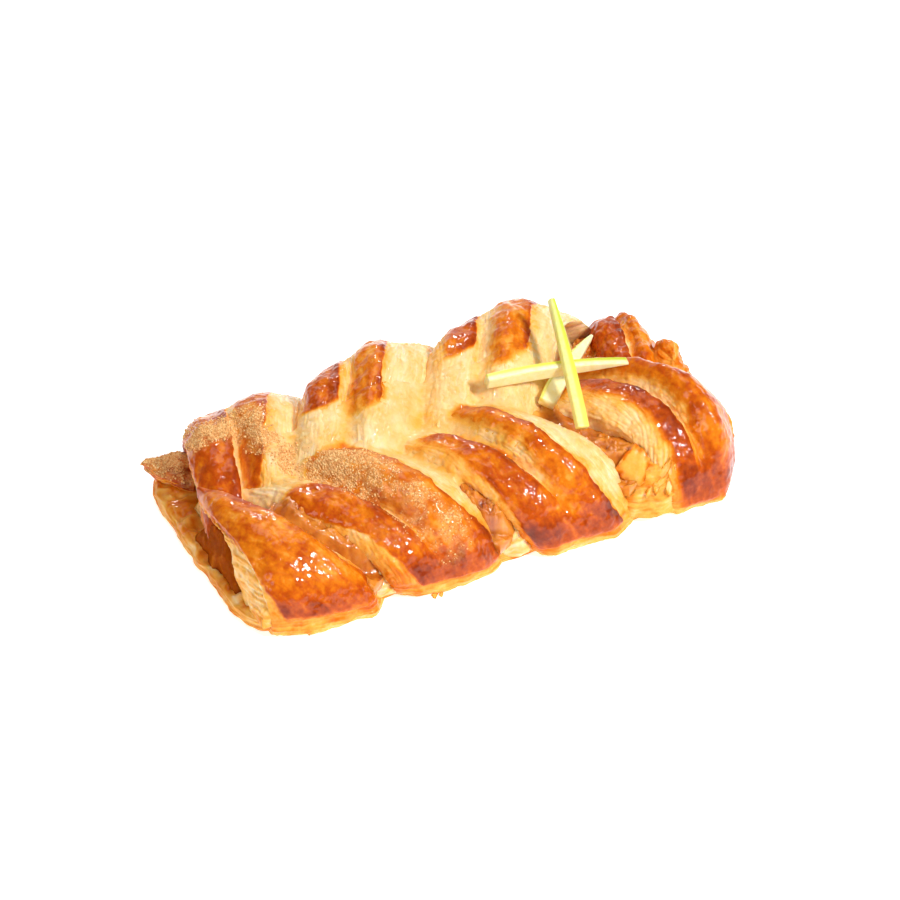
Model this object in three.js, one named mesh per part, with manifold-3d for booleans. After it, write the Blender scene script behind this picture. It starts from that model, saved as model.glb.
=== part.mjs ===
// A danish: a plaited loaf of puff pastry over an apple filling, with three apple matchsticks laid on top.
// Sizes are in millimetres. +Z is up, +X runs along the loaf to its far end and -Y is its front side.
// The origin is on the table, under the middle of the loaf.

import * as THREE from "three";
import { mergeVertices } from "three/addons/utils/BufferGeometryUtils.js";
import Module from "manifold-3d";

// Room left between neighbouring pieces, and the smallest detail that a piece keeps
const CLEARANCE = 0.3;
const FINEST_DETAIL = 0.03;

// The bottom sheet of pastry
const SHEET_NEAR_X = -69;
const SHEET_FAR_X = 63;
const SHEET_HALF_WIDTH = 34;
const SHEET_THICKNESS = 4;
const SHEET_CORNER = 4;
const SHEET_END_BULGE = 3;
const SHEET_BEVEL = 0.8;

// Every band of dough folds up from the sheet at its foot, climbs over a shoulder to its crown, and dips to
// its tip, which is tucked under its neighbours. The dip is a share of the crown's height.
const FOLD_RADIUS = 2.2;
const FOLD_STEPS = 5;
const BAND_THICKNESS = 9.5;
const CROWN_REACH = 17;
const SHOULDER_POWER = 2.2;
const TUCK_REACH = -14;
const TUCK_DIP = 0.5;
const BAND_STATIONS = 20;
const STATION_CROWDING = 1.3;

// Across its width a band has two ridges with a slit between them, and a sloping cut edge on its far side
const NEAR_ROUND = 4.2;
const FAR_SLOPE = 7.5;
const FAR_LEAN = 1.5;
const SLIT_PLACE = 0.52;
const SLIT_NEAR_SPREAD = 0.11;
const SLIT_FAR_SPREAD = 0.24;
const TOP_STEPS = 22;

// What most bands have in common: the reach and the dip of the tip, the thickness, the drop of the near flank
// and of the far slope, each at foot and tip, and the shares of the length between which the slit opens.
const PLAIN_BAND = {
  tuck: TUCK_REACH,
  dip: TUCK_DIP,
  thick: [BAND_THICKNESS, BAND_THICKNESS],
  round: [NEAR_ROUND, NEAR_ROUND],
  fall: [FAR_SLOPE, FAR_SLOPE],
  opens: [0.1, 0.45],
};

// The bands, nearest first. side -1 is the front and +1 the back, and reach is how far the foot stands from
// the loaf's middle. x and half are the place of the band's middle along the loaf and half its width, each at
// its foot and at its tip, and bow is how far it swings out towards the far end between them. near and far
// are the places of its two ridges across the width, from -1 to 1, at foot and tip. slit is the depth of the
// slit between them, and sink is how much lower the near ridge lies than the far one.
const BANDS = [
  {
    ...PLAIN_BAND, side: -1, reach: 39.5, height: 23, x: [-48, -67], half: [17, 1.5], bow: 0,
    near: [-0.2, -0.2], far: [0.55, 0.4], slit: 0, sink: 0,
    tuck: -5, dip: 0.16, thick: [9.5, 4], round: [4.2, 2.5], fall: [7.5, 3],
  },
  {
    ...PLAIN_BAND, side: 1, reach: 38.5, height: 26.5, x: [-37, -57.5], half: [19, 11], bow: -1,
    near: [-0.6, -0.6], far: [0.35, 0.25], slit: 5, sink: 3.5,
    dip: 0.72, thick: [9.5, 6], fall: [4, 4], opens: [0.4, 0.6],
  },
  {
    ...PLAIN_BAND, side: -1, reach: 38.5, height: 28, x: [-14, -43], half: [16, 20], bow: 0,
    near: [-0.6, -0.8], far: [0.5, -0.1], slit: 5, sink: 5,
  },
  {
    ...PLAIN_BAND, side: 1, reach: 38.5, height: 33, x: [7, -32], half: [19.5, 17], bow: 0,
    near: [-0.6, -0.6], far: [0.05, 0.05], slit: 4, sink: 3.5, opens: [0.4, 0.6],
  },
  {
    ...PLAIN_BAND, side: -1, reach: 38.5, height: 29, x: [24, -6], half: [16, 19], bow: 0,
    near: [-0.6, -0.75], far: [0.35, -0.05], slit: 5, sink: 4,
  },
  {
    ...PLAIN_BAND, side: 1, reach: 38.5, height: 33, x: [43, 3], half: [19, 18], bow: 0,
    near: [-0.6, -0.6], far: [0.25, 0.2], slit: 4, sink: 3, opens: [0.4, 0.6],
  },
  {
    ...PLAIN_BAND, side: -1, reach: 37, height: 29, x: [54, 32], half: [11.5, 16], bow: 7.5,
    near: [-0.5, -0.4], far: [0.5, 0.45], slit: 5, sink: 4,
  },
  {
    ...PLAIN_BAND, side: 1, reach: 32, height: 19, x: [60, 49.5], half: [7, 8], bow: 4.2,
    near: [-0.4, -0.5], far: [0.4, 0.4], slit: 3, sink: 0,
  },
];

// Between the front feet and at the far end some dough is left standing as low torn webs. at is a web's middle
// on the sheet, and half is its half-length and half-width there
const WEB_STEPS = 16;
const WEB_LEVELS = 6;
const WEBS = [
  { at: [-34, -29.5], half: [7, 5.5], height: 8 },
  { at: [3.5, -30], half: [7, 5.5], height: 8 },
  { at: [43, -29.5], half: [11, 7], height: 13 },
  { at: [66, 6], half: [5, 8.5], height: 17.5 },
];

// At the near back corner the sheet is turned up into a small ear
const EAR_ROOT = new THREE.Vector3(-58, 27, 5);
const EAR_TIP = new THREE.Vector3(-70, 33.5, 7.5);
const EAR_HALF_WIDTH = 7;
const EAR_HALF_THICKNESS = 3;
const EAR_STATIONS = 8;
const EAR_STEPS = 14;

// The filling is a low mound that runs the length of the loaf
const FILLING_MIDDLE_X = -3;
const FILLING_HALF_LENGTH = 61;
const FILLING_HALF_WIDTH = 27.5;
const FILLING_HEIGHT = 15;
const FILLING_STATIONS = 22;
const FILLING_STEPS = 14;

// The matchsticks are bars cut from a slice of apple. from and to are the ends of the middle of a bar's flat
// side. start, middle and end are its heights from there to the curved skin side, width is the thickness of
// the slice, and roll turns the bar about its length, in degrees.
const STICK_BEVEL = 0.2;
const STICKS = [
  {
    name: "apple_stick_low", from: [26.7, -6.6, 21], to: [46.6, 11, 24], roll: -75,
    start: 4.2, middle: 4.1, end: 0.9, width: 2.6,
  },
  {
    name: "apple_stick_long", from: [10.7, 0.1, 28.5], to: [49.1, -3.3, 25.5], roll: 12,
    start: 3.5, middle: 3.9, end: 0.8, width: 2.4,
  },
  {
    name: "apple_stick_leaning", from: [26.9, -19, 23], to: [33.6, 10.6, 41], roll: 105,
    start: 3.2, middle: 3, end: 1.5, width: 2.1,
  },
];

const DOUGH = new THREE.MeshStandardMaterial({ color: 0xc8741e, roughness: 0.4, metalness: 0 });
const APPLE_FILLING = new THREE.MeshStandardMaterial({ color: 0xb07a2c, roughness: 0.2, metalness: 0 });
const APPLE_FLESH = new THREE.MeshStandardMaterial({ color: 0xe6e8a0, roughness: 0.45, metalness: 0 });

const wasm = await Module();
wasm.setup();

// A closed mesh as a solid that can be joined and cut.
function solidOf(geometry) {
  const bare = new THREE.BufferGeometry();
  bare.setAttribute("position", geometry.getAttribute("position"));
  bare.setIndex(geometry.getIndex());
  const merged = mergeVertices(bare, 1e-3);
  return new wasm.Manifold(
    new wasm.Mesh({
      numProp: 3,
      vertProperties: new Float32Array(merged.getAttribute("position").array),
      triVerts: new Uint32Array(merged.getIndex().array),
    }),
  );
}

function geometryOf(solid) {
  const mesh = solid.getMesh();
  const geometry = new THREE.BufferGeometry();
  geometry.setAttribute("position", new THREE.BufferAttribute(mesh.vertProperties, 3));
  geometry.setIndex(new THREE.BufferAttribute(mesh.triVerts, 1));
  geometry.computeVertexNormals();
  return geometry;
}

// A skin over closed rings of points, one ring after the other, with a fan over the first and the last ring.
function loft(rings) {
  const around = rings[0].length;
  const points = rings.flat();
  const triangles = [];
  for (let i = 0; i + 1 < rings.length; i++) {
    for (let j = 0; j < around; j++) {
      const a = i * around + j;
      const b = i * around + ((j + 1) % around);
      triangles.push(a, b, a + around, b, b + around, a + around);
    }
  }
  const fan = (ring, first, facing) => {
    const centre = points.length;
    points.push(ring.reduce((sum, point) => sum.addScaledVector(point, 1 / around), new THREE.Vector3()));
    for (let j = 0; j < around; j++) {
      const a = first + j;
      const b = first + ((j + 1) % around);
      triangles.push(centre, ...(facing > 0 ? [a, b] : [b, a]));
    }
  };
  fan(rings[0], 0, -1);
  fan(rings.at(-1), (rings.length - 1) * around, 1);
  const geometry = new THREE.BufferGeometry().setFromPoints(points);
  geometry.setIndex(triangles);
  return geometry;
}

// The line of a band's crest across the loaf: how far from the loaf's middle, and how high.
function crestLine({ reach, height, tuck, dip }) {
  const points = [];
  const shoulderSteps = 24;
  const tuckSteps = 16;
  for (let i = 0; i < FOLD_STEPS; i++) {
    const angle = ((i / FOLD_STEPS - 1) * Math.PI) / 2;
    const out = reach - FOLD_RADIUS * (1 - Math.cos(angle));
    points.push(new THREE.Vector2(out, FOLD_RADIUS * (1 + Math.sin(angle))));
  }
  for (let i = 0; i <= shoulderSteps; i++) {
    const angle = ((i / shoulderSteps) * Math.PI) / 2;
    const out = CROWN_REACH + (reach - CROWN_REACH) * Math.cos(angle) ** (2 / SHOULDER_POWER);
    points.push(new THREE.Vector2(out, FOLD_RADIUS + (height - FOLD_RADIUS) * Math.sin(angle)));
  }
  for (let i = 1; i <= tuckSteps; i++) {
    const share = i / tuckSteps;
    const out = THREE.MathUtils.lerp(CROWN_REACH, tuck, share);
    points.push(new THREE.Vector2(out, height * (1 - dip * share ** 2)));
  }
  return new THREE.SplineCurve(points);
}

// How far the top of a band lies below its crest at a place across its width, from -1 at the near edge to 1.
function topDepth(across, { nearRidge, farRidge, slit, sink, round, fall }) {
  const slitPlace = THREE.MathUtils.lerp(nearRidge, farRidge, SLIT_PLACE);
  const near = Math.max(0, (nearRidge - across) / (nearRidge + 1));
  const far = Math.max(0, (across - farRidge) / (1 - farRidge));
  const spread = across < slitPlace ? SLIT_NEAR_SPREAD : SLIT_FAR_SPREAD;
  const cut = slit * Math.exp(-(Math.abs((across - slitPlace) / spread) ** 1.6));
  const sunk = sink * (1 - THREE.MathUtils.smoothstep(across, nearRidge, farRidge));
  return round * near ** 2.2 + fall * far ** 1.5 + cut + sunk;
}

// The closed section of a band at a share of the way from its foot to its tip: places across its width in
// half-widths, and depths below the crest.
function bandSection(band, share, half) {
  const shape = {
    nearRidge: THREE.MathUtils.lerp(...band.near, share),
    farRidge: THREE.MathUtils.lerp(...band.far, share),
    slit: band.slit * THREE.MathUtils.smoothstep(share, ...band.opens),
    sink: band.sink * THREE.MathUtils.smoothstep(share, ...PLAIN_BAND.opens),
    round: THREE.MathUtils.lerp(...band.round, share),
    fall: THREE.MathUtils.lerp(...band.fall, share),
  };
  const thick = THREE.MathUtils.lerp(...band.thick, share);
  const section = [];
  for (let i = 0; i <= TOP_STEPS; i++) {
    const across = -1 + (2 * i) / TOP_STEPS;
    section.push([across, topDepth(across, shape)]);
  }
  const bottom = thick + shape.sink;
  section.push([1 + FAR_LEAN / half, thick], [0, bottom], [-1, bottom]);
  return section;
}

// One band of the plait. Its sections lie along the loaf's length, so that its foot follows the sheet's edge.
function bandGeometry(band) {
  const line = crestLine(band);
  const rings = [];
  for (let i = 0; i <= BAND_STATIONS; i++) {
    const share = (i / BAND_STATIONS) ** STATION_CROWDING;
    const place = line.getPointAt(share);
    const along = line.getTangentAt(share);
    along.setX(Math.min(along.x, 0)).normalize();
    const middle = THREE.MathUtils.lerp(...band.x, share) + band.bow * Math.sin(Math.PI * share);
    const half = THREE.MathUtils.lerp(...band.half, share);
    const ring = bandSection(band, share, half).map(([across, depth]) => {
      const y = band.side * (place.x - along.y * depth);
      return new THREE.Vector3(middle + half * across, y, place.y + along.x * depth);
    });
    rings.push(band.side > 0 ? ring.reverse() : ring);
  }
  return loft(rings);
}

// The bottom sheet: a rectangle with small rounded corners, straight at the near end, bulging at the far end.
function sheetGeometry() {
  const near = SHEET_NEAR_X + SHEET_BEVEL;
  const far = SHEET_FAR_X - SHEET_BEVEL;
  const edge = SHEET_HALF_WIDTH - SHEET_BEVEL;
  const outline = new THREE.Shape();
  outline.moveTo(near + SHEET_CORNER, -edge);
  outline.lineTo(far - SHEET_CORNER, -edge);
  outline.quadraticCurveTo(far, -edge, far, -edge + SHEET_CORNER);
  outline.quadraticCurveTo(far + 2 * SHEET_END_BULGE, 0, far, edge - SHEET_CORNER);
  outline.quadraticCurveTo(far, edge, far - SHEET_CORNER, edge);
  outline.lineTo(near + SHEET_CORNER, edge);
  outline.quadraticCurveTo(near, edge, near, edge - SHEET_CORNER);
  outline.lineTo(near, -edge + SHEET_CORNER);
  outline.quadraticCurveTo(near, -edge, near + SHEET_CORNER, -edge);
  const geometry = new THREE.ExtrudeGeometry(outline, {
    depth: SHEET_THICKNESS - 2 * SHEET_BEVEL,
    bevelThickness: SHEET_BEVEL,
    bevelSize: SHEET_BEVEL,
    bevelSegments: 2,
    curveSegments: 8,
  });
  return geometry.translate(0, 0, SHEET_BEVEL);
}

// A web of dough: ovals that shrink towards its rounded top.
function webGeometry({ at, half, height }) {
  const rings = [];
  for (let i = 0; i <= WEB_LEVELS; i++) {
    const rise = (0.95 * (i / WEB_LEVELS) * Math.PI) / 2;
    const ring = [];
    for (let j = 0; j < WEB_STEPS; j++) {
      const angle = (2 * Math.PI * j) / WEB_STEPS;
      const x = at[0] + half[0] * Math.cos(rise) * Math.cos(angle);
      const y = at[1] + half[1] * Math.cos(rise) * Math.sin(angle);
      ring.push(new THREE.Vector3(x, y, SHEET_THICKNESS / 2 + height * Math.sin(rise)));
    }
    rings.push(ring);
  }
  return loft(rings);
}

// The ear: flat ovals along a straight line, narrowing to the tip.
function earGeometry() {
  const along = EAR_TIP.clone().sub(EAR_ROOT).normalize();
  const aside = new THREE.Vector3(-along.y, along.x, 0).normalize();
  const above = along.clone().cross(aside);
  const rings = [];
  for (let i = 0; i <= EAR_STATIONS; i++) {
    const share = i / EAR_STATIONS;
    const width = EAR_HALF_WIDTH * Math.max(0.08, (1 - share ** 1.5) ** 0.8);
    const thickness = EAR_HALF_THICKNESS * Math.max(0.15, (1 - share ** 3) ** 0.5);
    const ring = [];
    for (let j = 0; j < EAR_STEPS; j++) {
      const angle = (2 * Math.PI * j) / EAR_STEPS;
      const point = EAR_ROOT.clone().lerp(EAR_TIP, share);
      point.addScaledVector(aside, width * Math.cos(angle));
      point.addScaledVector(above, thickness * Math.sin(angle));
      ring.push(point);
    }
    rings.push(ring);
  }
  return loft(rings);
}

// The mound of filling, grown by an allowance all round.
function fillingGeometry(allowance) {
  const floor = SHEET_THICKNESS + CLEARANCE - allowance;
  const rings = [];
  for (let i = 0; i <= FILLING_STATIONS; i++) {
    const share = -Math.cos((Math.PI * i) / FILLING_STATIONS);
    const full = Math.max(0.12, (1 - Math.abs(share) ** 4) ** 0.5);
    const x = FILLING_MIDDLE_X + share * (FILLING_HALF_LENGTH + allowance);
    const half = FILLING_HALF_WIDTH * Math.max(0.55, full) + allowance;
    const height = FILLING_HEIGHT * full + 2 * allowance;
    const ring = [];
    for (let j = 0; j <= FILLING_STEPS; j++) {
      const angle = (Math.PI * j) / FILLING_STEPS;
      const y = half * Math.sign(Math.cos(angle)) * Math.abs(Math.cos(angle)) ** 0.8;
      ring.push(new THREE.Vector3(x, y, floor + height * Math.sin(angle) ** 0.8));
    }
    rings.push(ring);
  }
  return loft(rings);
}

// One matchstick: flat below and curved above, drawn out to the thickness of the slice.
function stickMesh({ name, from, to, roll, start, middle, end, width }) {
  const foot = new THREE.Vector3(...from);
  const along = new THREE.Vector3(...to).sub(foot);
  const length = along.length();
  const outline = new THREE.Shape();
  outline.moveTo(STICK_BEVEL, STICK_BEVEL);
  outline.lineTo(length - STICK_BEVEL, STICK_BEVEL);
  outline.lineTo(length - STICK_BEVEL, end - STICK_BEVEL);
  const bulge = 2 * middle - (start + end) / 2;
  outline.quadraticCurveTo(length / 2, bulge - STICK_BEVEL, STICK_BEVEL, start - STICK_BEVEL);
  outline.closePath();
  const geometry = new THREE.ExtrudeGeometry(outline, {
    depth: width - 2 * STICK_BEVEL,
    bevelThickness: STICK_BEVEL,
    bevelSize: STICK_BEVEL,
    bevelSegments: 1,
    curveSegments: 12,
  });
  geometry.translate(0, 0, STICK_BEVEL - width / 2).rotateX(Math.PI / 2);
  const aside = new THREE.Vector3(0, 0, 1).cross(along).normalize();
  const above = along.clone().cross(aside).normalize();
  geometry.rotateX(THREE.MathUtils.degToRad(roll));
  geometry.applyMatrix4(new THREE.Matrix4().makeBasis(along.normalize(), aside, above).setPosition(foot));
  return namedMesh(name, geometry, APPLE_FLESH);
}

function namedMesh(name, geometry, material) {
  const mesh = new THREE.Mesh(geometry, material);
  mesh.name = name;
  return mesh;
}

let pastry = solidOf(sheetGeometry()).add(solidOf(earGeometry()));
for (const web of WEBS) pastry = pastry.add(solidOf(webGeometry(web)));
for (const band of BANDS) pastry = pastry.add(solidOf(bandGeometry(band)));
pastry = pastry.subtract(solidOf(fillingGeometry(CLEARANCE)));
// Slivers left where two bands only just meet are smoothed away.
pastry = pastry.simplify(FINEST_DETAIL);
pastry = pastry.decompose().reduce((most, body) => (body.volume() > most.volume() ? body : most));

const danish = new THREE.Group();
danish.name = "apple_danish";
danish.add(namedMesh("pastry", geometryOf(pastry), DOUGH));
danish.add(namedMesh("apple_filling", fillingGeometry(0), APPLE_FILLING));
for (const stick of STICKS) danish.add(stickMesh(stick));

export default danish;
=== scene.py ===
# %% [markdown]
# An apple danish, dressed for its picture. The imported model gives plain solids in one fixed frame. This script
# lays baked surfaces over them: the plaited bands with their browned skin and pale cut edges, the sheet they
# grew from, the wet filling, the fruit matchsticks, the cinnamon and the crumbs. First comes the frame itself.

# %% The frame
import math

import bpy
import numpy as np
from mathutils import Matrix, Vector


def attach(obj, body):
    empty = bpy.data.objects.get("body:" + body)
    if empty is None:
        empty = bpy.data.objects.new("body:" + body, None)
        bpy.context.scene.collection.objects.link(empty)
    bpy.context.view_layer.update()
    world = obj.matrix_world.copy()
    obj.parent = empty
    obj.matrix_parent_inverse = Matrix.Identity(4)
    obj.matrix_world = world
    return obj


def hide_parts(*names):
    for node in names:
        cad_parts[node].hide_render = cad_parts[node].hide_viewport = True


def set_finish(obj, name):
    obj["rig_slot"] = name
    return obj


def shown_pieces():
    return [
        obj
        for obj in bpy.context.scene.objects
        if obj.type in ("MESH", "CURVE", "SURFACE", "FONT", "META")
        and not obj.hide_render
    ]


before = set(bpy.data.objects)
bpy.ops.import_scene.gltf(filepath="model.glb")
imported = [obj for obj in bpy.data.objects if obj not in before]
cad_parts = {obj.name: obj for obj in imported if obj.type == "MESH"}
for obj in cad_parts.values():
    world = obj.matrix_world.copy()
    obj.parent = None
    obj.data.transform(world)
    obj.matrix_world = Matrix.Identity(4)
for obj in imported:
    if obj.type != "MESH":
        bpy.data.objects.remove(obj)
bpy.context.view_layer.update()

MM = 0.001
print("nodes", sorted(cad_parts))

# %% [markdown]
# Baked dough is never smooth. Lumps, blisters and torn edges all come from one tool: smooth random heights, known
# as gradient noise. Each corner of a grid of cubes gets a random slope, and a point blends the eight slopes
# round it. Blender's Displace modifier could do this too, but with arrays one formula can also drive the colours.

# %% Smooth blends and random heights
def smooth(value, low, high):
    """0 below low and 1 above high, with an S-shaped blend (3t^2 - 2t^3) between them."""
    t = np.clip((value - low) / (high - low), 0.0, 1.0)
    return t * t * (3.0 - 2.0 * t)


def lerp(pair, share):
    """The value a share of the way from the first of a pair to the second."""
    return pair[0] + (pair[1] - pair[0]) * share


def unit(vectors):
    """Vectors divided by their lengths."""
    return vectors / np.linalg.norm(vectors, axis=-1, keepdims=True)


def turned(one, two, degrees):
    """Two directions that are square to each other, turned in their plane by an angle: the cosine of each, plus or
    minus the sine of the other."""
    cos, sin = math.cos(math.radians(degrees)), math.sin(math.radians(degrees))
    return one * cos + two * sin, two * cos - one * sin


def crumple(points, seed):
    """Smooth random heights from about -1 to 1 with bumps about one unit across: eight corner slopes, each
    times the way from its corner, blended by the fifth-power fade 6t^5 - 15t^4 + 10t^3 along every axis."""
    draw = np.random.default_rng(seed)
    shuffle = draw.permutation(256)
    slopes = unit(draw.normal(size=(256, 3)))
    points = np.asarray(points, float)
    cell = np.floor(points).astype(int)
    inside = points - cell
    fade = inside**3 * (inside * (inside * 6.0 - 15.0) + 10.0)
    total = np.zeros(points.shape[:-1])
    for corner in np.ndindex(2, 2, 2):
        at = (cell + corner) & 255
        pick = shuffle[(shuffle[(shuffle[at[..., 0]] + at[..., 1]) & 255] + at[..., 2]) & 255]
        weight = np.where(np.array(corner, bool), fade, 1.0 - fade).prod(-1)
        total += weight * ((inside - corner) * slopes[pick]).sum(-1)
    return 1.6 * total


def mottle(points, size, seed, octaves=3):
    """Crumple with bumps of a size in mm, plus the same at half the size and half the height, and so on."""
    return sum(crumple(points * 2.0**k / size, seed + k) / 2.0**k for k in range(octaves))


def grain(along, across, sizes, seed):
    """Crumple over two lengths in mm, with bumps of one size along and of another across, like layers of dough."""
    return crumple(np.stack(np.broadcast_arrays(along / sizes[0], across / sizes[1], 0.0), -1), seed)


def line_noise(along, size, seed):
    """Crumple along a line: one random height for each length along it."""
    along = np.asarray(along, float)
    return crumple(np.stack([along / size, np.full_like(along, 0.37), np.full_like(along, 0.71)], -1), seed)


print("noise spread", crumple(np.random.default_rng(1).uniform(0, 50, (20000, 3)), 3).std().round(3))

# %% [markdown]
# Every surface here is a row of closed rings: a profile carried along a path. Two neighbouring rings are joined by
# quads, and a fan closes each end, so no piece has a hole. Marks such as how brown a point is are stored on the
# points themselves, as attributes that the materials read later.

# %% From rings to pieces
def ring_faces(stations, around, flip=False):
    """Quads between neighbouring rings and a fan over the first and last ring. Point j of ring i has the number
    i * around + j, and the middles of the two fans come after all the rings."""
    i, j = np.meshgrid(np.arange(stations - 1), np.arange(around), indexing="ij")
    a, b = i * around + j, i * around + (j + 1) % around
    quads = np.stack([a, b, b + around, a + around], -1).reshape(-1, 4)
    ring = np.arange(around)
    beside = (ring + 1) % around
    first, top = stations * around, (stations - 1) * around
    start = np.stack([np.full(around, first), beside, ring], -1)
    end = np.stack([np.full(around, first + 1), top + ring, top + beside], -1)
    fans = np.concatenate([start, end])
    return [quads[:, ::-1], fans[:, ::-1]] if flip else [quads, fans]


def with_middles(rings):
    """The rings' values as one list of points, followed by the mean of the first ring and of the last."""
    flat = rings.reshape(-1, *rings.shape[2:])
    return np.concatenate([flat, rings[:1].mean(1), rings[-1:].mean(1)])


def folded(front, back):
    """Closed rings from two grids: each row along the front and back again along the back."""
    return np.concatenate([front, back[:, ::-1]], 1)


def outward(rings, flip=False):
    """Unit normals of a grid of rings: the cross product of the step round a ring and the step to the next."""
    around = np.roll(rings, -1, 1) - np.roll(rings, 1, 1)
    normal = np.cross(around, np.gradient(rings, axis=0))
    normal /= np.linalg.norm(normal, axis=-1, keepdims=True) + 1e-12
    return -normal if flip else normal


def make_piece(name, points, faces, marks, slot, nodes=()):
    """A mesh from points in mm, index arrays of faces and marks for the points, riding on the root body."""
    mesh = bpy.data.meshes.new(name)
    mesh.vertices.add(len(points))
    mesh.vertices.foreach_set("co", (points * MM).astype(np.float32).ravel())
    corners = np.concatenate([f.ravel() for f in faces]).astype(np.int32)
    sizes = np.concatenate([np.full(len(f), f.shape[1]) for f in faces])
    mesh.loops.add(len(corners))
    mesh.loops.foreach_set("vertex_index", corners)
    mesh.polygons.add(len(sizes))
    mesh.polygons.foreach_set("loop_start", (np.cumsum(sizes) - sizes).astype(np.int32))
    mesh.polygons.foreach_set("use_smooth", np.ones(len(sizes), bool))
    mesh.update(calc_edges=True)
    for mark, values in marks.items():
        mesh.attributes.new(mark, "FLOAT", "POINT").data.foreach_set("value", values.astype(np.float32).ravel())
    piece = bpy.data.objects.new(name, mesh)
    bpy.context.scene.collection.objects.link(piece)
    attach(piece, "root")
    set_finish(piece, slot)
    if nodes:
        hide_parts(*nodes)
    print(name, len(points), "points", int((sizes - 2).sum()), "triangles")
    return piece


def ring_piece(name, rings, marks, slot, nodes, flip=False):
    """A closed piece from rings in mm, with one value of each mark for every point of the rings."""
    marks = {key: with_middles(value[..., None])[:, 0] for key, value in marks.items()}
    return make_piece(name, with_middles(rings), ring_faces(*rings.shape[:2], flip), marks, slot, nodes)


# %% [markdown]
# The plait. Strips of dough fold up from the sheet, climb over a shoulder and dip to a tucked tip. Their sizes are
# those of the solids, in mm: side -1 is the front, reach is where the foot stands, x and half are the strip's
# middle and half-width at foot and tip, and bow is how far it bends between them. near and far are its two ridges
# across the width, round and fall are the drops of the near flank and the far slope, slit is the depth of the cut
# between the ridges, opens is where along the strip it starts and is full, and sink is how much lower the near
# ridge lies. tuck and dip are the reach and the drop of the tip, and thick is the thickness at foot and tip.

# %% [markdown]
# The browned skin has its own sizes. brown_near and brown_far are its outer edges across the width at foot and
# tip, soft is how soft the near edge is, gap says where it stops on both sides of the slit, widens is where the
# gap grows to its full width, and stop is the share of the length at which the skin ends on each ridge. lip is how
# high the pale layers reach at the foot, on the near and far side. deep makes the whole skin darker, wall is how
# brown the near wall is at foot and tip, flank is how brown the dough is below the skin's near edge, and rough is
# the height of the blisters. The first front band is brown again past its tip value.

# %% Sizes of the plait
FOLD_RADIUS, CROWN_REACH, SHOULDER_POWER = 2.2, 17.0, 2.2
FAR_LEAN = 1.5
SLIT_PLACE, SLIT_NEAR_SPREAD, SLIT_FAR_SPREAD = 0.52, 0.11, 0.24

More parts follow.
